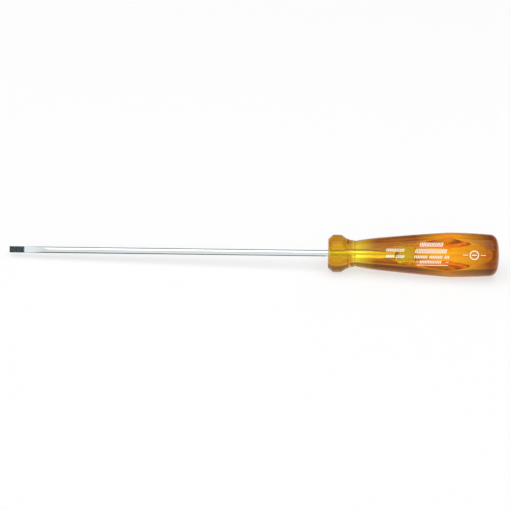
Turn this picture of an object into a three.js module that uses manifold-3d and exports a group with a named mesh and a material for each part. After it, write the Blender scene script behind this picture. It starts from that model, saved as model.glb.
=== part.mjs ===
// Slotted screwdriver: a one-piece steel blade held in a transparent, three-flatted handle.
//
// Millimetres. The tool's own frame has its origin at the centre of the blade's end face, +X along
// the blade towards the handle, and +Z square to the marked flat and to the tip's wide faces.
// The finished group is rolled about X so that the tool lies on one of its other two flats:
// there +Z is up, and the marked flat looks towards -Y, 30 degrees above level.
import * as THREE from "three";
import { mergeVertices } from "three/addons/utils/BufferGeometryUtils.js";
import Module from "manifold-3d";

const wasm = await Module();
wasm.setup();

// ---- driving dimensions ----
const BLADE_LENGTH = 152.4; // free length, from the end face to the handle's nose
const SHAFT_DIAMETER = 3.0;
const TIP_THICKNESS = 0.5;
const TIP_TAPER_DEG = 2.2; // each wide face leans out from the axis by this much
const TIP_TAPER_LENGTH = 9; // length of the straight ground faces
const TIP_RUNOUT_LENGTH = 18.5; // where the curved grind has run out to the full round

const SHANK_IN_HANDLE = 33.2; // round shank inside the handle, up to the spade
const SPADE_LENGTH = 8.6; // flattened end that keeps the blade from turning
const SPADE_WIDTH = 7.0;
const SPADE_THICKNESS = 1.0;
const BLADE_CLEARANCE = 0.05; // between the blade and its seat in the handle, each side
const MOUTH_BEVEL = 0.6; // countersink where the blade enters

const HANDLE_LENGTH = 81.7;
const NOSE_FACE_RADIUS = 6.7;
const RING_RADIUS = 9.0; // the collar behind the nose
const RING_CREST_START = 3.2;
const RING_CREST_END = 5.4;
const NECK_RADIUS = 6.45;
const NECK_END = 12.3;
const GROOVE_DEPTH = 0.4; // the narrow groove between the neck and the grip
const GROOVE_FRONT = 0.8; // its front and back walls, along the axis
const GROOVE_BACK = 0.6;
const FRONT_CONE_START = 23.9;
const CREST_AT = 57.6; // the grip's widest place
const CREST_RADIUS = 11.09;
const CREST_BLEND = 1.6; // half length of the rounding over the crest
const FRONT_CONE_SLOPE = 0.0973;
const BUTT_CONE_SLOPE = 0.0536;
const BUTT_CORNER_RADIUS = 4.1;
const BUTT_CORNER_SWEEP_DEG = 72;
const BUTT_DOME_RISE = 0.8; // from the end of the corner's arc to the butt face
const BUTT_FACE_RADIUS = 2.5;

const FLAT_COUNT = 3;
const FLAT_DISTANCE = 7.8; // from the axis, the same on the collar and on the grip
const FLAT_LIFT_DEG = 5.8; // behind the crest each flat turns outwards by this much
const FLAT_BLEND = 2; // half length of the soft bend between the two planes
const LYING_ROLL_DEG = 60; // brings a plain flat to face straight down

// ---- mesh resolution ----
const HANDLE_SIDES = 60;
const SHAFT_SIDES = 36;
const CURVE_STEPS = 4;
const ARC_STEPS = 6;

// ---- helpers ----
const rad = THREE.MathUtils.degToRad;

// A manifold solid from a closed three.js geometry.
function solidFrom(geometry) {
  const bare = geometry.index ? geometry.toNonIndexed() : geometry.clone();
  bare.deleteAttribute("normal");
  bare.deleteAttribute("uv");
  const merged = mergeVertices(bare, 1e-4);
  return new wasm.Manifold(
    new wasm.Mesh({
      numProp: 3,
      vertProperties: new Float32Array(merged.attributes.position.array),
      triVerts: new Uint32Array(merged.index.array),
    }),
  );
}

function geometryFrom(solid) {
  const mesh = solid.getMesh();
  const indexed = new THREE.BufferGeometry();
  indexed.setAttribute("position", new THREE.BufferAttribute(mesh.vertProperties, mesh.numProp));
  indexed.setIndex(new THREE.BufferAttribute(mesh.triVerts, 1));
  const flatShaded = indexed.toNonIndexed();
  flatShaded.computeVertexNormals();
  return flatShaded;
}

// Turns a profile of (radius, distance along the axis) about the X axis.
// The profile runs from the axis, out and forward, and back to the axis.
function turned(profile, sides) {
  const geometry = new THREE.LatheGeometry(profile, sides);
  geometry.rotateZ(-Math.PI / 2);
  return solidFrom(geometry);
}

function rod(start, end, radius, sides) {
  const profile = [
    new THREE.Vector2(0, start),
    new THREE.Vector2(radius, start),
    new THREE.Vector2(radius, end),
    new THREE.Vector2(0, end),
  ];
  return turned(profile, sides);
}

// Extrudes an outline drawn in the XZ plane across Y, centred on the axis.
function plateAcrossY(outline, width, steps) {
  const geometry = new THREE.ExtrudeGeometry(outline, {
    depth: width,
    bevelEnabled: false,
    curveSegments: steps,
  });
  geometry.rotateX(Math.PI / 2);
  geometry.translate(0, width / 2, 0);
  return solidFrom(geometry);
}

// ---- blade ----
// The part of the blade that sits in the handle. Grown by a margin, it is also the handle's seat.
function seatedBlade(margin) {
  const shankEnd = BLADE_LENGTH + SHANK_IN_HANDLE;
  const spadeEnd = shankEnd + SPADE_LENGTH + margin;
  const shank = rod(BLADE_LENGTH - 1, shankEnd + margin, SHAFT_DIAMETER / 2 + margin, SHAFT_SIDES);
  const halfThickness = SPADE_THICKNESS / 2 + margin;
  const spadeSide = new THREE.Shape();
  spadeSide.moveTo(shankEnd - 1, -halfThickness);
  spadeSide.lineTo(spadeEnd, -halfThickness);
  spadeSide.lineTo(spadeEnd, halfThickness);
  spadeSide.lineTo(shankEnd - 1, halfThickness);
  spadeSide.closePath();
  return shank.add(plateAcrossY(spadeSide, SPADE_WIDTH + 2 * margin, 1));
}

// What the grinder takes off above the tip: a leaning face, then a curve out to the full round.
function tipGrind() {
  const clear = SHAFT_DIAMETER;
  const slope = Math.tan(rad(TIP_TAPER_DEG));
  const heightAt = (x) => TIP_THICKNESS / 2 + slope * x;
  const bend = TIP_TAPER_LENGTH + 4;
  const outline = new THREE.Shape();
  outline.moveTo(-1, heightAt(-1));
  outline.lineTo(TIP_TAPER_LENGTH, heightAt(TIP_TAPER_LENGTH));
  outline.quadraticCurveTo(bend, heightAt(bend), TIP_RUNOUT_LENGTH, SHAFT_DIAMETER / 2);
  outline.lineTo(TIP_RUNOUT_LENGTH, clear);
  outline.lineTo(-1, clear);
  outline.closePath();
  return plateAcrossY(outline, 2 * clear, 2 * CURVE_STEPS);
}

function makeBlade() {
  const grind = tipGrind();
  return rod(0, BLADE_LENGTH, SHAFT_DIAMETER / 2, SHAFT_SIDES)
    .subtract(grind)
    .subtract(grind.rotate([180, 0, 0]))
    .add(seatedBlade(0));
}

// ---- handle ----
function handleProfile() {
  const frontConeAt = (s) => CREST_RADIUS - FRONT_CONE_SLOPE * (CREST_AT - s);
  const buttConeAt = (s) => CREST_RADIUS - BUTT_CONE_SLOPE * (s - CREST_AT);
  const sweep = rad(BUTT_CORNER_SWEEP_DEG);
  const cornerEnd = HANDLE_LENGTH - BUTT_DOME_RISE;
  const cornerAt = cornerEnd - BUTT_CORNER_RADIUS * Math.sin(sweep);
  const cornerCentre = buttConeAt(cornerAt) - BUTT_CORNER_RADIUS;
  const cornerEndRadius = cornerCentre + BUTT_CORNER_RADIUS * Math.cos(sweep);
  const domeBend = cornerEndRadius - BUTT_DOME_RISE * Math.tan(sweep);
  const grooveAt = NECK_END + GROOVE_FRONT;
  const gripStart = grooveAt + GROOVE_BACK;

  // x is the radius and y the distance behind the nose face
  const outline = new THREE.Path();
  outline.moveTo(0, 0);
  // nose face, its softened edge, the bevel and the collar
  outline.lineTo(NOSE_FACE_RADIUS, 0);
  outline.quadraticCurveTo(NOSE_FACE_RADIUS + 0.3, 0, NOSE_FACE_RADIUS + 0.5, 0.25);
  outline.lineTo(RING_RADIUS - 0.5, 1.7);
  outline.quadraticCurveTo(RING_RADIUS, 2.25, RING_RADIUS, RING_CREST_START);
  outline.lineTo(RING_RADIUS, RING_CREST_END);
  outline.quadraticCurveTo(RING_RADIUS, RING_CREST_END + 1, RING_RADIUS - 0.55, RING_CREST_END + 1.65);
  outline.lineTo(RING_RADIUS - 1.25, RING_CREST_END + 2.7);
  // neck and the groove behind it
  outline.quadraticCurveTo(NECK_RADIUS + 0.1, NECK_END - 2.55, NECK_RADIUS, NECK_END);
  outline.lineTo(NECK_RADIUS - GROOVE_DEPTH, grooveAt);
  outline.lineTo(NECK_RADIUS - GROOVE_DEPTH / 2, gripStart);
  // grip: a swelling front, a long cone, the crest and the shorter cone to the butt
  outline.quadraticCurveTo(
    frontConeAt(FRONT_CONE_START - 4.6),
    FRONT_CONE_START - 4.6,
    frontConeAt(FRONT_CONE_START),
    FRONT_CONE_START,
  );
  outline.lineTo(frontConeAt(CREST_AT - CREST_BLEND), CREST_AT - CREST_BLEND);
  outline.quadraticCurveTo(
    CREST_RADIUS,
    CREST_AT,
    buttConeAt(CREST_AT + CREST_BLEND),
    CREST_AT + CREST_BLEND,
  );
  outline.lineTo(buttConeAt(cornerAt), cornerAt);
  const cornerArc = new THREE.Path();
  cornerArc.absarc(cornerCentre, cornerAt, BUTT_CORNER_RADIUS, 0, sweep, false);
  const dome = new THREE.QuadraticBezierCurve(
    new THREE.Vector2(cornerEndRadius, cornerEnd),
    new THREE.Vector2(domeBend, HANDLE_LENGTH),
    new THREE.Vector2(BUTT_FACE_RADIUS, HANDLE_LENGTH),
  );
  return [
    ...outline.getPoints(CURVE_STEPS),
    ...cornerArc.getPoints(ARC_STEPS).slice(1),
    ...dome.getPoints(CURVE_STEPS).slice(1),
    new THREE.Vector2(0, HANDLE_LENGTH),
  ];
}

// Everything outside one flat: one plane over the collar and the front of the grip, which bends
// outwards behind the crest. The neck lies below it and stays round.
function flatCutter() {
  const slope = Math.tan(rad(FLAT_LIFT_DEG));
  const top = 2 * CREST_RADIUS;
  const end = HANDLE_LENGTH + 1;
  const outline = new THREE.Shape();
  outline.moveTo(-1, FLAT_DISTANCE);
  outline.lineTo(CREST_AT - FLAT_BLEND, FLAT_DISTANCE);
  outline.quadraticCurveTo(
    CREST_AT,
    FLAT_DISTANCE,
    CREST_AT + FLAT_BLEND,
    FLAT_DISTANCE + slope * FLAT_BLEND,
  );
  outline.lineTo(end, FLAT_DISTANCE + slope * (end - CREST_AT));
  outline.lineTo(end, top);
  outline.lineTo(-1, top);
  outline.closePath();
  return plateAcrossY(outline, 2 * top, CURVE_STEPS);
}

function makeHandle() {
  const cutter = flatCutter();
  let body = turned(handleProfile(), HANDLE_SIDES);
  for (let i = 0; i < FLAT_COUNT; i++) {
    body = body.subtract(cutter.rotate([(360 / FLAT_COUNT) * i, 0, 0]));
  }
  const seatRadius = SHAFT_DIAMETER / 2 + BLADE_CLEARANCE;
  const mouth = turned(
    [
      new THREE.Vector2(0, -MOUTH_BEVEL),
      new THREE.Vector2(seatRadius + 2 * MOUTH_BEVEL, -MOUTH_BEVEL),
      new THREE.Vector2(seatRadius, MOUTH_BEVEL),
      new THREE.Vector2(0, MOUTH_BEVEL),
    ],
    SHAFT_SIDES,
  );
  return body
    .subtract(mouth)
    .translate([BLADE_LENGTH, 0, 0])
    .subtract(seatedBlade(BLADE_CLEARANCE));
}

// ---- materials ----
const amberPlastic = new THREE.MeshStandardMaterial({
  color: 0xd07a1e,
  roughness: 0.12,
  metalness: 0,
});
const platedSteel = new THREE.MeshStandardMaterial({
  color: 0xd5dbdc,
  roughness: 0.2,
  metalness: 1,
});

// ---- assembly ----
function named(name, solid, material) {
  const mesh = new THREE.Mesh(geometryFrom(solid), material);
  mesh.name = name;
  return mesh;
}

const screwdriver = new THREE.Group();
screwdriver.name = "slotted_screwdriver";
const tool = new THREE.Group();
tool.rotation.x = rad(LYING_ROLL_DEG);
tool.add(named("blade", makeBlade(), platedSteel));
tool.add(named("handle", makeHandle(), amberPlastic));
screwdriver.add(tool);

export default screwdriver;
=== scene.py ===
"""A slotted screwdriver lying on a pale floor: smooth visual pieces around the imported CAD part.

The CAD holds the sizes. Here the same profile is drawn finely, with rounded edges, and given its
materials: clear amber plastic, plated steel with a blackened tip, and white stamped marks.
Lengths are in millimetres, apart from those marked as metres.
"""

import math

import bpy
import numpy as np
from mathutils import Matrix, Vector


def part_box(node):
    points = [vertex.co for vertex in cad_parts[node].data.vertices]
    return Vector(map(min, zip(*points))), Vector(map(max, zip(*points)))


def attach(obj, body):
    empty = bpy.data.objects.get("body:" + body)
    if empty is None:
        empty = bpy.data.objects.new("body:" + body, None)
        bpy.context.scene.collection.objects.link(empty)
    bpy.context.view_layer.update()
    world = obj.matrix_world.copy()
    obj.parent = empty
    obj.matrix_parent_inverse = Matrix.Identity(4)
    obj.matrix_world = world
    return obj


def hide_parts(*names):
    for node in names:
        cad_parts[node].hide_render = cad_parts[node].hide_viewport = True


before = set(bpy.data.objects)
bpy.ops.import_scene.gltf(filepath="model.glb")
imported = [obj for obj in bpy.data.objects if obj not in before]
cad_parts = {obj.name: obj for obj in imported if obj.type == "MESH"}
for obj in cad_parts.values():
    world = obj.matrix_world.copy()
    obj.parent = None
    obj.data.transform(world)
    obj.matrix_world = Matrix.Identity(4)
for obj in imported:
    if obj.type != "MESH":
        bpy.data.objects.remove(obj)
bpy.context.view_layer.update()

MM = 0.001
HANDLE_LOW, HANDLE_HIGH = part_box("handle")
BLADE_LOW, BLADE_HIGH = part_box("blade")

# ---- sizes, in millimetres, as in the CAD ----
NOSE_X = HANDLE_LOW[0] / MM  # where the handle starts along the tool's axis
HANDLE_LENGTH = (HANDLE_HIGH[0] - HANDLE_LOW[0]) / MM
BLADE_END_X = BLADE_HIGH[0] / MM
SHAFT_RADIUS = 1.5
TIP_THICKNESS = 0.5
TIP_TAPER_DEG = 2.2
TIP_TAPER_LENGTH = 9
TIP_RUNOUT_LENGTH = 18.5
TIP_BLACK_LENGTH = 7.1
SPADE_LENGTH = 8.6
SPADE_WIDTH = 7.0
SPADE_THICKNESS = 1.0
SPADE_X = BLADE_END_X - SPADE_LENGTH
BLADE_CLEARANCE = 0.05
MOUTH_BEVEL = 0.6

NOSE_FACE_RADIUS = 6.7
RING_RADIUS = 9.0
RING_CREST = (3.2, 5.4)
NECK_RADIUS = 6.45
NECK_END = 12.3
GROOVE_DEPTH = 0.4
GROOVE_FRONT = 0.8
GROOVE_BACK = 0.6
FRONT_CONE_START = 23.9
FRONT_CONE_SLOPE = 0.0973
CREST_AT = 57.6
CREST_RADIUS = 11.09
CREST_BLEND = 1.6
BUTT_CONE_SLOPE = 0.0536
BUTT_CORNER_RADIUS = 4.1
BUTT_CORNER_SWEEP_DEG = 72
BUTT_DOME_RISE = 0.8
BUTT_FACE_RADIUS = 2.5

FLAT_COUNT = 3
FLAT_DISTANCE = 7.8
FLAT_LIFT_DEG = 5.8
FLAT_BLEND = 2.0
MARKED_FLAT_ROLL_DEG = 60  # the marked flat's normal, rolled from +Z towards -Y

# ---- points of the handle's profile, as (distance behind the nose, radius) ----
NOSE_EDGE = (0, NOSE_FACE_RADIUS)
NOSE_CORNER = (0, NOSE_FACE_RADIUS + 0.3)  # a corner is cut by the rounding between its neighbours
NOSE_BEVEL = ((0.25, NOSE_FACE_RADIUS + 0.5), (1.7, RING_RADIUS - 0.5))
RING_FRONT_CORNER = (2.25, RING_RADIUS)
RING_FRONT, RING_BACK = ((s, RING_RADIUS) for s in RING_CREST)
RING_BACK_CORNER = (RING_CREST[1] + 1, RING_RADIUS)
FLANK_START = (RING_CREST[1] + 1.65, RING_RADIUS - 0.55)
FLANK_END = (RING_CREST[1] + 2.7, RING_RADIUS - 1.25)
NECK_CORNER = (NECK_END - 2.55, NECK_RADIUS + 0.1)
GROOVE_EDGE = (NECK_END, NECK_RADIUS)
GROOVE_FLOOR = (NECK_END + GROOVE_FRONT, NECK_RADIUS - GROOVE_DEPTH)
GRIP_START = (NECK_END + GROOVE_FRONT + GROOVE_BACK, NECK_RADIUS - GROOVE_DEPTH / 2)
SWELL_CORNER_AT = FRONT_CONE_START - 4.6

# ---- mesh making ----
EDGE_STEP = 0.25  # the finest steps along the profile go where it turns
GROOVE_STEPS = (0.16, 0.12)
RING_STEP = 0.4
FACE_STEP = 0.6
CONE_STEP = 0.8
ROUNDING_POINTS = 8
NOSE_POINTS = 5
NECK_POINTS = 14
SWELL_POINTS = 16
BUTT_CORNER_POINTS = 14
RING_POINTS_PER_ZONE = 24
FLAT_ZONE_LEAST_DEG = 14  # the mesh keeps this half-angle for each flat even where it has run out
EDGE_SOFTNESS = (0.1, 0.45)  # rounding of the flats' edges: everywhere, and more where they are sharp
PLANED_DEPTH = 0.15  # a surface this far inside the turned one counts as planed flat
CLEAR_DEG = (11, 24)  # to each side of a flat's middle line, where the blade is seen clearly and the tint is painted paler as light
CLEAR_PAST_BLADE = 4.0  # how far behind the blade's end that clearness fades out
SIDE_SLOPE = (0.25, 0.85)  # share of the profile's direction along the axis: end faces, sides
SPADE_FLATTENS = (-2.2, 1.2)  # where the round shank turns into the spade, from the spade's start
SPADE_SQUARENESS = 7  # how much squarer than an ellipse the spade's section is
TIP_TURN = 4  # behind the taper, the corner of the ground faces' run-out curve
GROUND_SOFTNESS = 0.05  # rounding of the ground faces' edges
STEEPEST_EDGE_DEG = 80
ROUND_EDGE_DEG = 45  # the mesh's zones are even on the round shaft
RELAX_LENGTH = 8  # behind the run-out, over which the zones even out
# (distance from the end face, how far inside the section) of the rings that round the tip's end
TIP_END_RINGS = ((0.0, 0.12), (0.0, 0.05), (0.03, 0.015))
TIP_FIRST_STATION = 0.08
TIP_STEP = 0.4
RUNOUT_STEP = 0.25
RELAX_STEP = 0.6
PAST_RUNOUT = 0.5  # how far the run-out's fine rings go on behind it
PAST_RELAXED = 1
SHAFT_STEP = 4
SEAT_STEP = 1.0
FLATTEN_STEP = 0.15
SPADE_STEP = 0.7
SPADE_END_ROUND = 0.05

ROLL = math.radians(MARKED_FLAT_ROLL_DEG)
TOOL_UP = Vector((0, -math.sin(ROLL), math.cos(ROLL)))  # out of the marked flat
TOOL_ACROSS = Vector((0, math.cos(ROLL), math.sin(ROLL)))  # across the marked flat, in its plane


def smooth_min(a, b, width):
    """The lower of a and b, rounded over where they are within width of each other."""
    share = np.clip(0.5 + 0.5 * (b - a) / width, 0, 1)
    return b * (1 - share) + a * share - width * share * (1 - share)


def smooth_step(x, start, end):
    t = np.clip((x - start) / (end - start), 0, 1)
    return t * t * (3 - 2 * t)


def line(p, q, step):
    """Points from p up to but without q, no further apart than step."""
    p, q = np.array(p, float), np.array(q, float)
    count = max(1, math.ceil(np.linalg.norm(q - p) / step))
    return [tuple(p + (q - p) * i / count) for i in range(count)]


def bend(p, c, q, count):
    """A quadratic Bezier curve from p up to but without q."""
    p, c, q = (np.array(v, float) for v in (p, c, q))
    points = []
    for i in range(count):
        t = i / count
        points.append(tuple((1 - t) ** 2 * p + 2 * t * (1 - t) * c + t * t * q))
    return points


def front_cone(s):
    return CREST_RADIUS - FRONT_CONE_SLOPE * (CREST_AT - s)


def back_cone(s):
    return CREST_RADIUS - BUTT_CONE_SLOPE * (s - CREST_AT)


def collar_profile():
    """From the mouth's rim over the nose face and the ring to the collar's flank."""
    mouth = (0, SHAFT_RADIUS + BLADE_CLEARANCE + MOUTH_BEVEL)
    points = line(mouth, NOSE_EDGE, FACE_STEP)
    points += bend(NOSE_EDGE, NOSE_CORNER, NOSE_BEVEL[0], NOSE_POINTS)
    points += line(*NOSE_BEVEL, EDGE_STEP)
    points += bend(NOSE_BEVEL[1], RING_FRONT_CORNER, RING_FRONT, ROUNDING_POINTS)
    points += line(RING_FRONT, RING_BACK, RING_STEP)
    points += bend(RING_BACK, RING_BACK_CORNER, FLANK_START, ROUNDING_POINTS)
    points += line(FLANK_START, FLANK_END, EDGE_STEP)
    return points


def neck_profile():
    """From the collar's flank through the neck and its groove to the grip's front cone."""
    cone_start = (FRONT_CONE_START, front_cone(FRONT_CONE_START))
    swell_corner = (SWELL_CORNER_AT, front_cone(SWELL_CORNER_AT))
    points = bend(FLANK_END, NECK_CORNER, GROOVE_EDGE, NECK_POINTS)
    points += line(GROOVE_EDGE, GROOVE_FLOOR, GROOVE_STEPS[0])
    points += line(GROOVE_FLOOR, GRIP_START, GROOVE_STEPS[1])
    points += bend(GRIP_START, swell_corner, cone_start, SWELL_POINTS)
    return points


def grip_profile(end):
    """From the front cone over the crest to the end of the back cone."""
    before, after = CREST_AT - CREST_BLEND, CREST_AT + CREST_BLEND
    cone_start = (FRONT_CONE_START, front_cone(FRONT_CONE_START))
    crest = (before, front_cone(before)), (CREST_AT, CREST_RADIUS), (after, back_cone(after))
    points = line(cone_start, crest[0], CONE_STEP)
    points += bend(*crest, ROUNDING_POINTS)
    points += line(crest[2], (end, back_cone(end)), CONE_STEP)
    return points


def handle_profile():
    """(distance behind the nose, radius), from the mouth's rim over the outside to the butt."""
    sweep = math.radians(BUTT_CORNER_SWEEP_DEG)
    corner_end = HANDLE_LENGTH - BUTT_DOME_RISE
    corner_at = corner_end - BUTT_CORNER_RADIUS * math.sin(sweep)
    centre = back_cone(corner_at) - BUTT_CORNER_RADIUS
    points = collar_profile() + neck_profile() + grip_profile(corner_at)
    for i in range(BUTT_CORNER_POINTS):
        turn = sweep * i / BUTT_CORNER_POINTS
        along = corner_at + BUTT_CORNER_RADIUS * math.sin(turn)
        points.append((along, centre + BUTT_CORNER_RADIUS * math.cos(turn)))
    corner_radius = centre + BUTT_CORNER_RADIUS * math.cos(sweep)
    dome_corner = (HANDLE_LENGTH, corner_radius - BUTT_DOME_RISE * math.tan(sweep))
    face_edge = (HANDLE_LENGTH, BUTT_FACE_RADIUS)
    points += bend((corner_end, corner_radius), dome_corner, face_edge, ROUNDING_POINTS)
    points += line(face_edge, (HANDLE_LENGTH, 0), FACE_STEP)
    return points


def flat_distance(s):
    """How far the flats lie from the axis, s behind the nose."""
    slope = math.tan(math.radians(FLAT_LIFT_DEG))
    past = s - CREST_AT
    if past < -FLAT_BLEND:
        return FLAT_DISTANCE
    if past > FLAT_BLEND:
        return FLAT_DISTANCE + slope * past
    t = (past + FLAT_BLEND) / (2 * FLAT_BLEND)
    return FLAT_DISTANCE + slope * FLAT_BLEND * t * t


def crowded(count):
    """Shares from 0 up to but without 1, closest together at both ends."""
    return (1 - np.cos(np.pi * np.arange(count) / count)) / 2


def ring_angles(edge):
    """Angles about the axis from the marked flat: a zone over each flat and one between flats."""
    sector = 2 * math.pi / FLAT_COUNT
    over = -edge + 2 * edge * crowded(RING_POINTS_PER_ZONE)
    between = edge + (sector - 2 * edge) * crowded(RING_POINTS_PER_ZONE)
    return np.concatenate([np.concatenate([over, between]) + k * sector for k in range(FLAT_COUNT)])


def handle_ring(s, radius):
    """One ring of the handle's outside, as (x, across, up, flat or over the blade) rows; the last
    column marks where the tint is painted paler as light.
    """
    flat = flat_distance(s)
    sharp = math.acos(min(1.0, flat / max(radius, 1e-6)))
    angles = ring_angles(max(sharp, math.radians(FLAT_ZONE_LEAST_DEG)))
    sector = 2 * math.pi / FLAT_COUNT
    from_flat = (angles + sector / 2) % sector - sector / 2
    softness = EDGE_SOFTNESS[0] + EDGE_SOFTNESS[1] * math.sin(sharp)
    reach = smooth_min(radius, flat / np.cos(from_flat), softness)
    x = np.full_like(angles, NOSE_X + s)
    planed = np.clip((radius - reach) / PLANED_DEPTH, 0, 1)
    over_blade = 1 - smooth_step(np.degrees(np.abs(from_flat)), *CLEAR_DEG)
    over_blade *= 1 - smooth_step(NOSE_X + s, BLADE_END_X, BLADE_END_X + CLEAR_PAST_BLADE)
    # flats and the part over the blade get the paler, painted light tints, and the collar's flats
    # also get their ground roughness
    flat_or_over_blade = np.maximum(planed, over_blade)
    return np.stack([x, -reach * np.sin(angles), reach * np.cos(angles), flat_or_over_blade], axis=1)


def blade_half_size(x, margin):
    """The seated blade's half width, half thickness and squareness at x."""
    flatten = smooth_step(x, *(SPADE_X + shift for shift in SPADE_FLATTENS))
    width = SHAFT_RADIUS + (SPADE_WIDTH / 2 - SHAFT_RADIUS) * flatten + margin
    thickness = SHAFT_RADIUS + (SPADE_THICKNESS / 2 - SHAFT_RADIUS) * flatten + margin
    return width, thickness, 2 + SPADE_SQUARENESS * flatten


def seat_ring(x, angles, margin):
    width, thickness, squareness = blade_half_size(x, margin)
    power = 2 / squareness
    across = -width * np.sign(np.sin(angles)) * np.abs(np.sin(angles)) ** power
    up = thickness * np.sign(np.cos(angles)) * np.abs(np.cos(angles)) ** power
    return np.stack([np.full_like(angles, x), across, up], axis=1)


def stations(start, end, step):
    """Places along the axis from start up to but without end."""
    return [place for place, _ in line((start, 0), (end, 0), step)]


def seat_stations():
    """Where rings are drawn along the part of the blade inside the handle."""
    before, after = (SPADE_X + shift for shift in SPADE_FLATTENS)
    along = stations(NOSE_X + MOUTH_BEVEL, before, SEAT_STEP)
    along += stations(before, after, FLATTEN_STEP)
    along += stations(after, BLADE_END_X, SPADE_STEP)
    return along


def skin(name, rings, start, end):
    """A closed mesh from rings of equal length, with a fan to a point at each end."""
    count = len(rings[0])
    flat = np.concatenate([np.array([start]), *rings, np.array([end])])
    world = (
        flat[:, 0:1] * np.array([[1.0, 0, 0]])
        + flat[:, 1:2] * np.array([TOOL_ACROSS])
        + flat[:, 2:3] * np.array([TOOL_UP])
    ) * MM
    faces = []
    last = len(flat) - 1
    for i in range(count):
        j = (i + 1) % count
        faces.append((0, 1 + j, 1 + i))
        base = 1 + (len(rings) - 1) * count
        faces.append((last, base + i, base + j))
        for r in range(len(rings) - 1):
            a, b = 1 + r * count, 1 + (r + 1) * count
            faces.append((a + i, a + j, b + j, b + i))
    mesh = bpy.data.meshes.new(name)
    mesh.from_pydata(world.tolist(), [], faces)
    mesh.validate()
    mesh.polygons.foreach_set("use_smooth", [True] * len(mesh.polygons))
    piece = bpy.data.objects.new(name, mesh)
    bpy.context.scene.collection.objects.link(piece)
    return piece


def side_share(profile):
    """1 where the profile runs along the tool, and 0 on its end faces."""
    along, out = np.gradient(np.array(profile), axis=0).T
    slope = np.abs(along) / np.hypot(along, out)
    return smooth_step(slope, *SIDE_SLOPE)


def add_attribute(piece, name, values):
    piece.data.attributes.new(name, "FLOAT", "POINT").data.foreach_set("value", values)


def make_handle():
    profile = handle_profile()
    outside = [handle_ring(s, r) for s, r in profile]
    angles = ring_angles(math.radians(FLAT_ZONE_LEAST_DEG))
    seat_end = BLADE_END_X + BLADE_CLEARANCE
    seat = [seat_ring(x, angles, BLADE_CLEARANCE) for x in [seat_end] + seat_stations()[::-1]]
    seat_ones = np.ones(1 + len(seat) * len(angles))
    flat_or_over_blade = np.concatenate([seat_ones, *[ring[:, 3] for ring in outside], [0]])
    side = np.concatenate([seat_ones, np.repeat(side_share(profile), len(angles)), [0]])
    rings = seat + [ring[:, :3] for ring in outside]
    piece = skin("amber_handle", rings, (seat_end, 0, 0), (NOSE_X + HANDLE_LENGTH, 0, 0))
    add_attribute(piece, "flat_or_over_blade", flat_or_over_blade)
    add_attribute(piece, "side", side)
    return piece


def tip_half_thickness(x):
    """Half the blade's thickness at x, between its ground faces."""
    slope = math.tan(math.radians(TIP_TAPER_DEG))
    if x < TIP_TAPER_LENGTH:
        return TIP_THICKNESS / 2 + slope * x
    if x > TIP_RUNOUT_LENGTH:
        return 2 * SHAFT_RADIUS  # outside the shaft, so nothing is cut
    # a quadratic Bezier curve from the taper's end to the shaft, solved for its parameter at x
    turn = TIP_TAPER_LENGTH + TIP_TURN
    a = TIP_TAPER_LENGTH - 2 * turn + TIP_RUNOUT_LENGTH
    b = 2 * (turn - TIP_TAPER_LENGTH)
    c = TIP_TAPER_LENGTH - x
    t = (-b + math.sqrt(b * b - 4 * a * c)) / (2 * a)
    start = TIP_THICKNESS / 2 + slope * TIP_TAPER_LENGTH
    middle = TIP_THICKNESS / 2 + slope * turn
    return (1 - t) ** 2 * start + 2 * t * (1 - t) * middle + t * t * SHAFT_RADIUS


def blade_ring(x, shrink=0.0):
    """One ring of the free blade: a circle cut by two ground faces."""
    radius = SHAFT_RADIUS - shrink
    half = tip_half_thickness(x) - shrink
    edge = min(math.asin(min(1.0, half / radius)), math.radians(STEEPEST_EDGE_DEG))
    relax = smooth_step(x, TIP_RUNOUT_LENGTH, TIP_RUNOUT_LENGTH + RELAX_LENGTH)
    edge += (math.radians(ROUND_EDGE_DEG) - edge) * relax
    side = -edge + 2 * edge * crowded(RING_POINTS_PER_ZONE)
    face = edge + (math.pi - 2 * edge) * crowded(RING_POINTS_PER_ZONE)
    angles = np.concatenate([side, face, side + math.pi, face + math.pi])
    up = radius * np.sin(angles)
    up = np.sign(up) * smooth_min(np.abs(up), half, GROUND_SOFTNESS)
    return np.stack([np.full_like(angles, x), radius * np.cos(angles), up], axis=1)


def make_blade():
    runout_end = TIP_RUNOUT_LENGTH + PAST_RUNOUT
    relaxed = TIP_RUNOUT_LENGTH + RELAX_LENGTH + PAST_RELAXED
    along = stations(TIP_FIRST_STATION, TIP_TAPER_LENGTH, TIP_STEP)
    along += stations(TIP_TAPER_LENGTH, runout_end, RUNOUT_STEP)
    along += stations(runout_end, relaxed, RELAX_STEP)
    along += stations(relaxed, NOSE_X + MOUTH_BEVEL, SHAFT_STEP)
    rings = [blade_ring(x, shrink) for x, shrink in TIP_END_RINGS]
    rings += [blade_ring(x) for x in along]
    # the seated rings start at the same place and have the same zones as the free blade's last one
    side = math.radians(ROUND_EDGE_DEG) * (2 * crowded(RING_POINTS_PER_ZONE) - 1)
    angles = np.concatenate([side + k * math.pi / 2 for k in range(4)]) - math.pi / 2
    rings += [seat_ring(x, angles, 0) for x in seat_stations()]
    rings.append(seat_ring(BLADE_END_X - SPADE_END_ROUND, angles, 0))
    rings.append(seat_ring(BLADE_END_X, angles, -SPADE_END_ROUND))
    return skin("steel_blade", rings, (0, 0, 0), (BLADE_END_X, 0, 0))


# ---- stamped marks ----
MARK_LIFT = 0.012
MARK_THICKNESS = 0.02
TICK_WIDTH = 0.4
TICK_PITCH = 0.8
TICK_LEAN = 0.28  # how far a tick leans back, over its height
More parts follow.
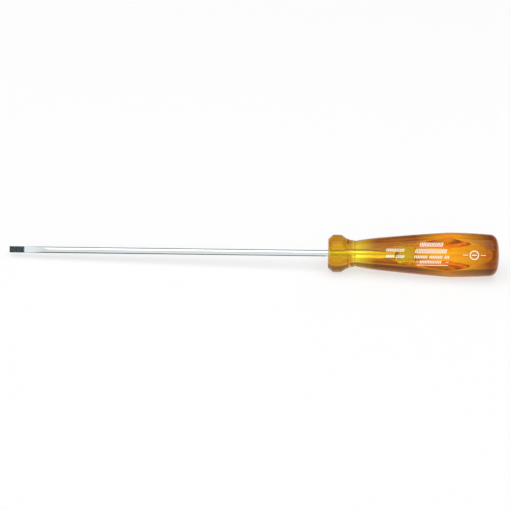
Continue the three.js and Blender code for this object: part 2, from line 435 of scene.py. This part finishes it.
# (behind the nose, across the flat, length, height, ticks in a group) of each row of slanted ticks
TICK_ROWS = (
    (27.6, 1.85, 9.4, 1.5, 11),
    (27.6, -1.15, 9.4, 1.5, 5),
    (43.6, 4.7, 12.0, 2.0, 14),
    (41.4, 1.6, 16.2, 2.1, 19),
    (41.0, -1.2, 17.0, 1.4, 8),
    (43.6, -3.6, 11.6, 1.4, 13),
)
# (behind the nose, across the flat, length) of each thin rule
RULES = (
    (41.9, -3.6, 1.1),
    (56.0, -3.6, 1.1),
    (42.0, -5.1, 14.8),
)
RULE_WIDTH = 0.26
BADGE_AT = 69.4
BADGE_ACROSS = -0.1
BADGE_RADIUS = 2.2
BADGE_LINE = 0.4
BADGE_BAR = 5.4  # from the badge's centre to the far end of the bar on each side
BADGE_GAP = 0.8  # between the ring and each bar
BADGE_SLOT_SHARE = 0.65  # the slot's length over the ring's inner diameter
BAR_CORNER_SHARE = 0.3  # a bar's corner radius over its width
BAR_CORNERS = ((1, 1, 0), (0, 1, 90), (0, 0, 180), (1, 0, 270))  # right, above, start in degrees
BAR_CORNER_POINTS = 4
CIRCLE_POINTS = 48


def sheet_points(outline):
    """The lower and then the upper points of a thin sheet on the marked flat."""
    points = []
    for lift in (MARK_LIFT, MARK_LIFT + MARK_THICKNESS):
        for s, across in outline:
            point = Vector((NOSE_X + s, 0, 0)) + TOOL_ACROSS * across
            points.append(tuple((point + TOOL_UP * (flat_distance(s) + lift)) * MM))
    return points


def stamped_piece(name, outlines):
    """One mesh of thin sheets, from (outer outline, inner outline or None) pairs."""
    vertices, faces = [], []
    for outer, inner in outlines:
        count, bottom = len(outer), len(vertices)
        top = bottom + count
        vertices += sheet_points(outer)
        walls = [(bottom, top, False)]
        if inner:
            inner_bottom = len(vertices)
            inner_top = inner_bottom + count
            vertices += sheet_points(inner)
            walls.append((inner_bottom, inner_top, True))
            for i in range(count):
                j = (i + 1) % count
                faces.append((top + i, top + j, inner_top + j, inner_top + i))
                faces.append((bottom + j, bottom + i, inner_bottom + i, inner_bottom + j))
        else:
            faces.append(tuple(range(top, top + count)))
            faces.append(tuple(reversed(range(bottom, top))))
        for low, high, turned in walls:
            for i in range(count):
                j = (i + 1) % count
                face = (low + i, low + j, high + j, high + i)
                faces.append(face[::-1] if turned else face)
    mesh = bpy.data.meshes.new(name)
    mesh.from_pydata(vertices, [], faces)
    mesh.validate()
    piece = bpy.data.objects.new(name, mesh)
    bpy.context.scene.collection.objects.link(piece)
    return piece


def bar(s, across, length, width, lean=0.0):
    """A bar's outline with rounded corners, its left end at s and its top leaning right."""
    corner = BAR_CORNER_SHARE * min(length, width)
    points = []
    for right, above, start in BAR_CORNERS:
        centre_s = s + (length - corner if right else corner)
        centre_a = across + (width / 2 - corner) * (1 if above else -1)
        for k in range(BAR_CORNER_POINTS):
            turn = math.radians(start + 90 * k / (BAR_CORNER_POINTS - 1))
            a = centre_a + corner * math.sin(turn)
            points.append((centre_s + corner * math.cos(turn) + lean * (a - across), a))
    return points


def circle(s, across, radius):
    steps = [2 * math.pi * i / CIRCLE_POINTS for i in range(CIRCLE_POINTS)]
    return [(s + radius * math.cos(a), across + radius * math.sin(a)) for a in steps]


def make_stamped_rows():
    """Rows of slanted ticks in groups, with thin rules: a plain pattern in place of print."""
    outlines = []
    for start, across, length, height, group in TICK_ROWS:
        for i in range(int(length / TICK_PITCH)):
            if i % (group + 1) == group:
                continue
            tick = bar(start + i * TICK_PITCH, across, TICK_WIDTH, height, TICK_LEAN)
            outlines.append((tick, None))
    for start, across, length in RULES:
        outlines.append((bar(start, across, length, RULE_WIDTH), None))
    return stamped_piece("stamped_rows", outlines)


def make_stamped_badge():
    """A ring with a slot, as a slotted screw's head, between two short bars."""
    hole = BADGE_RADIUS - BADGE_LINE
    slot = BADGE_SLOT_SHARE * hole
    at, across, length = BADGE_AT, BADGE_ACROSS, BADGE_BAR - BADGE_RADIUS - BADGE_GAP
    outlines = [
        (circle(at, across, BADGE_RADIUS), circle(at, across, hole)),
        (bar(at - slot, across, 2 * slot, BADGE_LINE), None),
        (bar(at - BADGE_BAR, across, length, RULE_WIDTH), None),
        (bar(at + BADGE_BAR - length, across, length, RULE_WIDTH), None),
    ]
    return stamped_piece("stamped_badge", outlines)


# ---- materials ----
def new_material(name):
    material = bpy.data.materials.new(name)
    material.use_nodes = True
    tree = material.node_tree
    return material, tree, tree.nodes["Principled BSDF"]


def set_inputs(node, values):
    for name, value in values.items():
        node.inputs[name].default_value = value


def mesh_place(tree):
    """The point's place in its mesh, in metres in the part's frame."""
    return tree.nodes.new("ShaderNodeTexCoord").outputs["Object"]


def off_axis(tree, place):
    """The part of a place that is square to the tool's axis."""
    across = tree.nodes.new("ShaderNodeVectorMath")
    across.operation = "MULTIPLY"
    across.inputs[1].default_value = (0, 1, 1)
    tree.links.new(place, across.inputs[0])
    return across.outputs[0]


def speckle(tree, cells_per_metre):
    noise = tree.nodes.new("ShaderNodeTexNoise")
    set_inputs(noise, {"Scale": cells_per_metre, "Detail": NOISE_DETAIL})
    tree.links.new(mesh_place(tree), noise.inputs["Vector"])
    return noise.outputs["Fac"]


def axial_streaks(tree, along, around):
    """Noise drawn out along the tool's axis: cells per metre along it, and per radian around it."""
    nodes, links = tree.nodes, tree.links
    place = mesh_place(tree)
    direction = nodes.new("ShaderNodeVectorMath")
    direction.operation = "NORMALIZE"
    links.new(off_axis(tree, place), direction.inputs[0])
    wound = nodes.new("ShaderNodeVectorMath")
    wound.operation = "SCALE"
    wound.inputs["Scale"].default_value = around
    links.new(direction.outputs[0], wound.inputs[0])
    drawn = nodes.new("ShaderNodeVectorMath")
    drawn.operation = "MULTIPLY_ADD"
    drawn.inputs[1].default_value = (along, 0, 0)
    links.new(place, drawn.inputs[0])
    links.new(wound.outputs[0], drawn.inputs[2])
    noise = nodes.new("ShaderNodeTexNoise")
    set_inputs(noise, {"Scale": 1, "Detail": NOISE_DETAIL})
    links.new(drawn.outputs[0], noise.inputs["Vector"])
    return noise.outputs["Fac"]


def ramp(tree, value, stops):
    """A colour ramp over a value, from (place, colour) stops."""
    node = tree.nodes.new("ShaderNodeValToRGB")
    elements = node.color_ramp.elements
    for element, (place, colour) in zip(elements, (stops[0], stops[-1])):
        element.position = place
        element.color = (*colour, 1)
    for place, colour in stops[1:-1]:
        elements.new(place).color = (*colour, 1)
    tree.links.new(value, node.inputs["Fac"])
    return node.outputs["Color"]


def bump(tree, height, depth, shader):
    node = tree.nodes.new("ShaderNodeBump")
    node.inputs["Distance"].default_value = depth
    tree.links.new(height, node.inputs["Height"])
    tree.links.new(node.outputs["Normal"], shader.inputs["Normal"])


def blend(tree, share, first, second, kind="RGBA"):
    """first where share is 0 and second where it is 1; each is a socket or a value."""
    node = tree.nodes.new("ShaderNodeMix")
    node.data_type = kind
    suffix = {"RGBA": "_Color", "FLOAT": "_Float"}[kind]
    socket = {s.identifier: s for s in list(node.inputs) + list(node.outputs)}
    tree.links.new(share, socket["Factor_Float"])
    for name, value in (("A" + suffix, first), ("B" + suffix, second)):
        if isinstance(value, bpy.types.NodeSocket):
            tree.links.new(value, socket[name])
        elif kind == "RGBA":
            socket[name].default_value = (*value, 1)
        else:
            socket[name].default_value = value
    return socket["Result" + suffix]


def place_along(tree, start, end):
    """0 before start and 1 after end, measured along the tool in millimetres from the tip."""
    parts = tree.nodes.new("ShaderNodeSeparateXYZ")
    tree.links.new(mesh_place(tree), parts.inputs[0])
    share = tree.nodes.new("ShaderNodeMapRange")
    set_inputs(share, {"From Min": start * MM, "From Max": end * MM})
    tree.links.new(parts.outputs["X"], share.inputs["Value"])
    return share.outputs["Result"]


def combine(tree, kind, first, second):
    """A Math node of two sockets or numbers."""
    node = tree.nodes.new("ShaderNodeMath")
    node.operation = kind
    for socket, value in zip(node.inputs, (first, second)):
        if isinstance(value, bpy.types.NodeSocket):
            tree.links.new(value, socket)
        else:
            socket.default_value = value
    return node.outputs[0]


# A tint is a ramp over the streaks' value, from its dark to its pale streaks.
# These tints paint light and shade into the plastic. The paler ones are painted light over the blade,
# on the flats and on the crest. The darker ones are painted shade on the collar, the turned zones and
# the butt.
OVER_BLADE_PAINTED_LIGHT = ((0.34, (0.78, 0.74, 0.36)), (0.62, (0.90, 0.93, 0.66)))
FLAT_PAINTED_LIGHT = ((0.35, (0.96, 0.50, 0.2)), (0.62, (1, 0.74, 0.46)))
COLLAR_PAINTED_SHADE = ((0.34, (0.42, 0.25, 0.08)), (0.62, (0.72, 0.50, 0.22)))
TURNED_PAINTED_SHADE = ((0.34, (0.18, 0.06, 0.012)), (0.50, (0.40, 0.15, 0.034)), (0.66, (0.74, 0.36, 0.10)))
CREST_PAINTED_LIGHT = ((0.34, (0.94, 0.50, 0.11)), (0.50, (1, 0.72, 0.22)), (0.66, (1, 0.86, 0.34)))
BUTT_PAINTED_SHADE = ((0.34, (0.14, 0.034, 0.009)), (0.50, (0.23, 0.062, 0.014)), (0.66, (0.34, 0.11, 0.026)))

# where one tint gives way to the next along the tool, in millimetres from the tip
BLADE_TO_FLATS = (BLADE_END_X - 4, BLADE_END_X + 6)
COLLAR_TO_NECK = (NOSE_X + 10.5, NOSE_X + 12.5)
NECK_TO_BARREL = (NOSE_X + 14, NOSE_X + 23)
BARREL_TO_CREST = (NOSE_X + 42, NOSE_X + 55)
CREST_TO_BUTT = (NOSE_X + 61, NOSE_X + 77)
COLLAR_GROUND = (NOSE_X + 7, NOSE_X + 8)  # the ground look of the collar's flats ends here

NOISE_DETAIL = 3
AMBER_STREAKS = (26, 9.5)  # cells per metre along the tool, and per radian around it
STREAK_DEPTH = 0.00008  # metres
PLAIN_STREAK = 0.56  # the streaks' value on the end faces, which have none
RINGS_PER_METRE = 900
RING_SHARE = 0.2  # the rings' depth over the streaks'
AMBER_ROUGHNESS = 0.1
GROUND_ROUGHNESS = 0.2
AMBER_IOR = 1.48
HIGHLIGHT_TINT = (1, 0.8, 0.4, 1)
AMBER_COLOUR = (0.998, 0.895, 0.02, 1)
AMBER_DENSITY = 255  # per metre


def mesh_value(tree, name):
    """A value that the mesh holds at its points."""
    node = tree.nodes.new("ShaderNodeAttribute")
    node.attribute_name = name
    return node.outputs["Fac"]


def lathe_rings(tree):
    """Faint rings about the tool's axis, as a turning tool leaves on an end face."""
    radius = tree.nodes.new("ShaderNodeVectorMath")
    radius.operation = "LENGTH"
    tree.links.new(off_axis(tree, mesh_place(tree)), radius.inputs[0])
    noise = tree.nodes.new("ShaderNodeTexNoise")
    noise.noise_dimensions = "1D"
    noise.inputs["Scale"].default_value = RINGS_PER_METRE
    tree.links.new(radius.outputs["Value"], noise.inputs["W"])
    return combine(tree, "MULTIPLY", noise.outputs["Fac"], RING_SHARE)


def amber_tint_and_painted_light(tree, streaks, flat_or_over_blade):
    """Painted light and shade in the tint: paler over the blade, on the flats and on the crest;
    darker on the collar, the turned zones and the butt.
    """
    painted_blade_glow = ramp(tree, streaks, OVER_BLADE_PAINTED_LIGHT)
    flats = blend(tree, place_along(tree, *BLADE_TO_FLATS), painted_blade_glow, ramp(tree, streaks, FLAT_PAINTED_LIGHT))
    collar = blend(tree, flat_or_over_blade, ramp(tree, streaks, COLLAR_PAINTED_SHADE), painted_blade_glow)
    front = blend(tree, place_along(tree, *COLLAR_TO_NECK), collar, painted_blade_glow)
    painted_turned_shade, painted_crest_light = ramp(tree, streaks, TURNED_PAINTED_SHADE), ramp(tree, streaks, CREST_PAINTED_LIGHT)
    crest = blend(tree, place_along(tree, *BARREL_TO_CREST), painted_turned_shade, painted_crest_light)
    butt = ramp(tree, streaks, BUTT_PAINTED_SHADE)
    barrel = blend(tree, place_along(tree, *CREST_TO_BUTT), crest, butt)
    grip = blend(tree, flat_or_over_blade, barrel, flats)
    return blend(tree, place_along(tree, *NECK_TO_BARREL), front, grip)


def amber_plastic():
    """Transparent plastic, coloured by what it absorbs and by a streaky tint where light enters it;
    the tint also paints light and shade.
    """
    material, tree, shader = new_material("amber_plastic")
    flat_or_over_blade, side = mesh_value(tree, "flat_or_over_blade"), mesh_value(tree, "side")
    streaks = axial_streaks(tree, *AMBER_STREAKS)
    streak_tint = blend(tree, side, PLAIN_STREAK, streaks, "FLOAT")
    tree.links.new(amber_tint_and_painted_light(tree, streak_tint, flat_or_over_blade), shader.inputs["Base Color"])
    surface = blend(tree, side, lathe_rings(tree), streaks, "FLOAT")
    bump(tree, surface, STREAK_DEPTH, shader)
    on_collar = combine(tree, "SUBTRACT", 1.0, place_along(tree, *COLLAR_GROUND))
    ground = combine(tree, "MULTIPLY", flat_or_over_blade, on_collar)
    rough = blend(tree, ground, AMBER_ROUGHNESS, GROUND_ROUGHNESS, "FLOAT")
    tree.links.new(rough, shader.inputs["Roughness"])
    set_inputs(shader, {"IOR": AMBER_IOR, "Specular Tint": HIGHLIGHT_TINT, "Transmission Weight": 1})
    absorb = tree.nodes.new("ShaderNodeVolumeAbsorption")
    set_inputs(absorb, {"Color": AMBER_COLOUR, "Density": AMBER_DENSITY})
    tree.links.new(absorb.outputs[0], tree.nodes["Material Output"].inputs["Volume"])
    return material


DRAWN_STREAKS = (12, 9)
DRAWN_DEPTH = 0.000004  # metres
FREE_PLATING = ((0.35, (0.64, 0.68, 0.695)), (0.6, (0.74, 0.775, 0.79)))
# the ground faces: paler and bluer, a painted highlight where they catch the light
GROUND_PAINTED_HIGHLIGHT = (0.78, 0.84, 0.88)
# the blade inside the handle: paler, painted light so that it glows through the plastic
SEATED_PAINTED_LIGHT = (0.92, 0.92, 0.88)
BLACK_FINISH = ((0.35, (0.032, 0.048, 0.055)), (0.65, (0.07, 0.095, 0.105)))
WORN_EDGE = (0.3, 0.31, 0.32)
BLOTCHES_PER_METRE = 1600
WEAR_ENDS = (0.02, 0.22)
BLACK_ENDS = (TIP_BLACK_LENGTH - 0.3, TIP_BLACK_LENGTH + 0.3)
GROUND_ENDS = (11, 17)
SEAT_STARTS = (NOSE_X + 0.5, NOSE_X + 12)
FORGED_STARTS = (SPADE_X - 1.5, SPADE_X)
BLACK_ROUGHNESS = 0.34
PLATED_ROUGHNESS = 0.14
FORGED_ROUGHNESS = 0.5


def plated_steel():
    """Drawn and plated steel: a worn black tip and a dull forged spade, with a painted highlight
    making the ground faces paler and bluer, and painted light making the blade inside the handle
    paler.
    """
    material, tree, shader = new_material("plated_steel")
    drawn = axial_streaks(tree, *DRAWN_STREAKS)
    free = ramp(tree, drawn, FREE_PLATING)
    open_air = blend(tree, place_along(tree, *GROUND_ENDS), GROUND_PAINTED_HIGHLIGHT, free)
    plating_and_painted_light = blend(tree, place_along(tree, *SEAT_STARTS), open_air, SEATED_PAINTED_LIGHT)
    black = ramp(tree, speckle(tree, BLOTCHES_PER_METRE), BLACK_FINISH)
    tip = blend(tree, place_along(tree, *WEAR_ENDS), WORN_EDGE, black)
    past_black = place_along(tree, *BLACK_ENDS)
    tree.links.new(blend(tree, past_black, tip, plating_and_painted_light), shader.inputs["Base Color"])
    shader.inputs["Metallic"].default_value = 1
    forged = place_along(tree, *FORGED_STARTS)
    polish = blend(tree, forged, PLATED_ROUGHNESS, FORGED_ROUGHNESS, "FLOAT")
    rough = blend(tree, past_black, BLACK_ROUGHNESS, polish, "FLOAT")
    tree.links.new(rough, shader.inputs["Roughness"])
    bump(tree, drawn, DRAWN_DEPTH, shader)
    return material


FOIL_WEAR = ((0.34, (0.80, 0.62, 0.40)), (0.46, (0.93, 0.89, 0.82)))
FOIL_SPECKLES_PER_METRE = 2500
FOIL_ROUGHNESS = 0.45


def stamp_foil():
    """White foil, worn in specks that let the amber through."""
    material, tree, shader = new_material("stamp_foil")
    worn = ramp(tree, speckle(tree, FOIL_SPECKLES_PER_METRE), FOIL_WEAR)
    tree.links.new(worn, shader.inputs["Base Color"])
    shader.inputs["Roughness"].default_value = FOIL_ROUGHNESS
    return material


# ---- pieces ----
handle = make_handle()
handle.data.materials.append(amber_plastic())
blade = make_blade()
blade.data.materials.append(plated_steel())
marks = [make_stamped_rows(), make_stamped_badge()]
foil = stamp_foil()
for mark in marks:
    mark.data.materials.append(foil)

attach(handle, "root")
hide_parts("handle")
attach(blade, "root")
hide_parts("blade")
for mark in marks:
    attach(mark, "root")

# ---- stage ----
WHITE = (1, 1, 1, 1)
FLOOR_SIZE = 6.0  # metres
FLOOR_GREY = (0.3, 0.3, 0.3, 1)
FLOOR_ROUGHNESS = 0.8
FLOOR_GLOW = 0.62  # as a pale table lit from below
COLLAR_TOUCH = 1.1  # behind the nose, where the collar's flat meets the floor
BUTT_TOUCH = 78.1  # behind the nose, where the butt's low corner does
# the cards' spans are in millimetres from where the collar meets the floor
CARD_RISE = 0.2
DARK_CARD_SPAN = ((-NOSE_X, -2), (-4, 16))
DARK_CARD_GREY = (0.12, 0.12, 0.12, 1)
DARK_CARD_ROUGHNESS = 0.9
BRIGHT_CARD_SPAN = ((10, 90), (-60, 0))
BRIGHT_CARD_GLOW = 1.4
WORLD_FRONT = 1.0
WORLD_BACK = 0.28
WORLD_TURN = (-0.9, 0.4)  # the directions, as their part along Y, between which one becomes the other
BACKDROP = 0.8  # the world as the camera itself sees it
SOFTBOX_TURN_DEG = -55
SOFTBOX_DISTANCE = 1.2  # metres
SOFTBOX_SIZE = (2.6, 1.6)  # metres
SOFTBOX_POWER = 19
SOFTBOX_AIM_SHARE = 0.9  # how far along the free blade it points


def floor_frame():
    """The floor's place: under the collar's flat and the butt's low corner, so a little tilted."""
    drop = -HANDLE_LOW[2] / MM - FLAT_DISTANCE
    tilt = math.atan2(drop, BUTT_TOUCH - COLLAR_TOUCH)
    centre = Vector((NOSE_X + COLLAR_TOUCH, 0, -FLAT_DISTANCE)) * MM
    return Matrix.Translation(centre) @ Matrix.Rotation(tilt, 4, "Y")


def flat_sheet(name, span, height, material):
    """A rectangle on the floor or a little above it."""
    mesh = bpy.data.meshes.new(name)
    (x0, x1), (y0, y1) = span
    outline = ((x0, y0), (x1, y0), (x1, y1), (x0, y1))
    corners = [Vector((x, y, height)) * MM for x, y in outline]
    mesh.from_pydata(corners, [], [(0, 1, 2, 3)])
    sheet = bpy.data.objects.new(name, mesh)
    sheet.matrix_world = floor_frame()
    bpy.context.scene.collection.objects.link(sheet)
    sheet.data.materials.append(material)
    return sheet


def make_floor():
    material, _, shader = new_material("pale_floor")
    values = {"Base Color": FLOOR_GREY, "Roughness": FLOOR_ROUGHNESS}
    set_inputs(shader, {**values, "Emission Color": WHITE, "Emission Strength": FLOOR_GLOW})
    half = FLOOR_SIZE / MM / 2
    flat_sheet("floor", ((-half, half), (-half, half)), 0, material)


def seen_only_in(card, wanted):
    """Hides a card from every kind of ray but one."""
    for kind in ("camera", "diffuse", "glossy", "transmission", "volume_scatter", "shadow"):
        setattr(card, "visible_" + kind, kind == wanted)


def make_dark_card():
    """A card under the blade, seen only in its reflections: it darkens the shaft's lower edge."""
    material, _, shader = new_material("dark_card")
    set_inputs(shader, {"Base Color": DARK_CARD_GREY, "Roughness": DARK_CARD_ROUGHNESS})
    seen_only_in(flat_sheet("dark_card", DARK_CARD_SPAN, CARD_RISE, material), "glossy")


def make_bright_card():
    """A card in front of the handle, seen only through the plastic: it lights the handle's depth."""
    material, _, shader = new_material("bright_card")
    set_inputs(shader, {"Emission Color": WHITE, "Emission Strength": BRIGHT_CARD_GLOW})
    seen_only_in(flat_sheet("bright_card", BRIGHT_CARD_SPAN, CARD_RISE, material), "transmission")


def around_tool(degrees):
    """A direction square to the tool's axis, turned from the marked flat's normal about +X."""
    turn = math.radians(degrees)
    return TOOL_UP * math.cos(turn) - TOOL_ACROSS * math.sin(turn)


def make_softbox():
    light = bpy.data.lights.new("overhead_softbox", "AREA")
    light.shape = "RECTANGLE"
    light.size, light.size_y = SOFTBOX_SIZE
    light.energy = SOFTBOX_POWER
    lamp = bpy.data.objects.new("overhead_softbox", light)
    target = Vector((NOSE_X * SOFTBOX_AIM_SHARE, 0, 0)) * MM
    direction = around_tool(SOFTBOX_TURN_DEG)
    lamp.location = target + direction.normalized() * SOFTBOX_DISTANCE
    lamp.rotation_mode = "QUATERNION"
    lamp.rotation_quaternion = (-direction).to_track_quat("-Z", "Y")
    lamp.visible_camera = False
    bpy.context.scene.collection.objects.link(lamp)


def make_world():
    """A plain studio, paler in front of the tool (-Y) than behind it, on a pale backdrop."""
    world = bpy.data.worlds.new("studio")
    world.use_nodes = True
    tree = world.node_tree
    place = tree.nodes.new("ShaderNodeTexCoord")
    parts = tree.nodes.new("ShaderNodeSeparateXYZ")
    tree.links.new(place.outputs["Generated"], parts.inputs[0])
    level = tree.nodes.new("ShaderNodeMapRange")
    set_inputs(level, {"From Min": WORLD_TURN[0], "From Max": WORLD_TURN[1]})
    set_inputs(level, {"To Min": WORLD_FRONT, "To Max": WORLD_BACK})
    tree.links.new(parts.outputs["Y"], level.inputs["Value"])
    path = tree.nodes.new("ShaderNodeLightPath")
    seen = blend(tree, path.outputs["Is Camera Ray"], level.outputs["Result"], BACKDROP, "FLOAT")
    background = tree.nodes["Background"]
    background.inputs["Color"].default_value = WHITE
    tree.links.new(seen, background.inputs["Strength"])
    bpy.context.scene.world = world


# ---- camera: square to the marked flat, the tool dipping slightly to the right ----
CAMERA_DISTANCE = 1.6  # metres
SPAN_SHARE = 0.9595  # the tool's length over the picture's width
DIP_DEG = 0.72
CENTRE_PAST_MIDDLE = 0.4  # the picture's centre, from the middle of the tool: along it
CENTRE_BELOW_AXIS = 1.28  # and across it
SENSOR_WIDTH = 36
CLIP = (0.1, 50)  # metres


def make_camera():
    length = NOSE_X + HANDLE_LENGTH
    width = length / SPAN_SHARE * MM
    dip = math.radians(DIP_DEG)
    axis = Vector((1, 0, 0))
    up = TOOL_ACROSS * math.cos(dip) - axis * math.sin(dip)
    right = axis * math.cos(dip) + TOOL_ACROSS * math.sin(dip)
    centre = Vector((length / 2 + CENTRE_PAST_MIDDLE, 0, 0)) - TOOL_ACROSS * CENTRE_BELOW_AXIS
    data = bpy.data.cameras.new("camera")
    data.sensor_width = SENSOR_WIDTH
    data.lens = SENSOR_WIDTH * CAMERA_DISTANCE / width
    data.clip_start, data.clip_end = CLIP
    camera = bpy.data.objects.new("camera", data)
    turn = Matrix((right, up, TOOL_UP)).transposed().to_4x4()
    camera.matrix_world = Matrix.Translation(centre * MM + TOOL_UP * CAMERA_DISTANCE) @ turn
    bpy.context.scene.collection.objects.link(camera)
    bpy.context.scene.camera = camera


make_floor()
make_dark_card()
make_bright_card()
make_softbox()
make_world()
make_camera()
bpy.context.scene.view_settings.view_transform = "Standard"
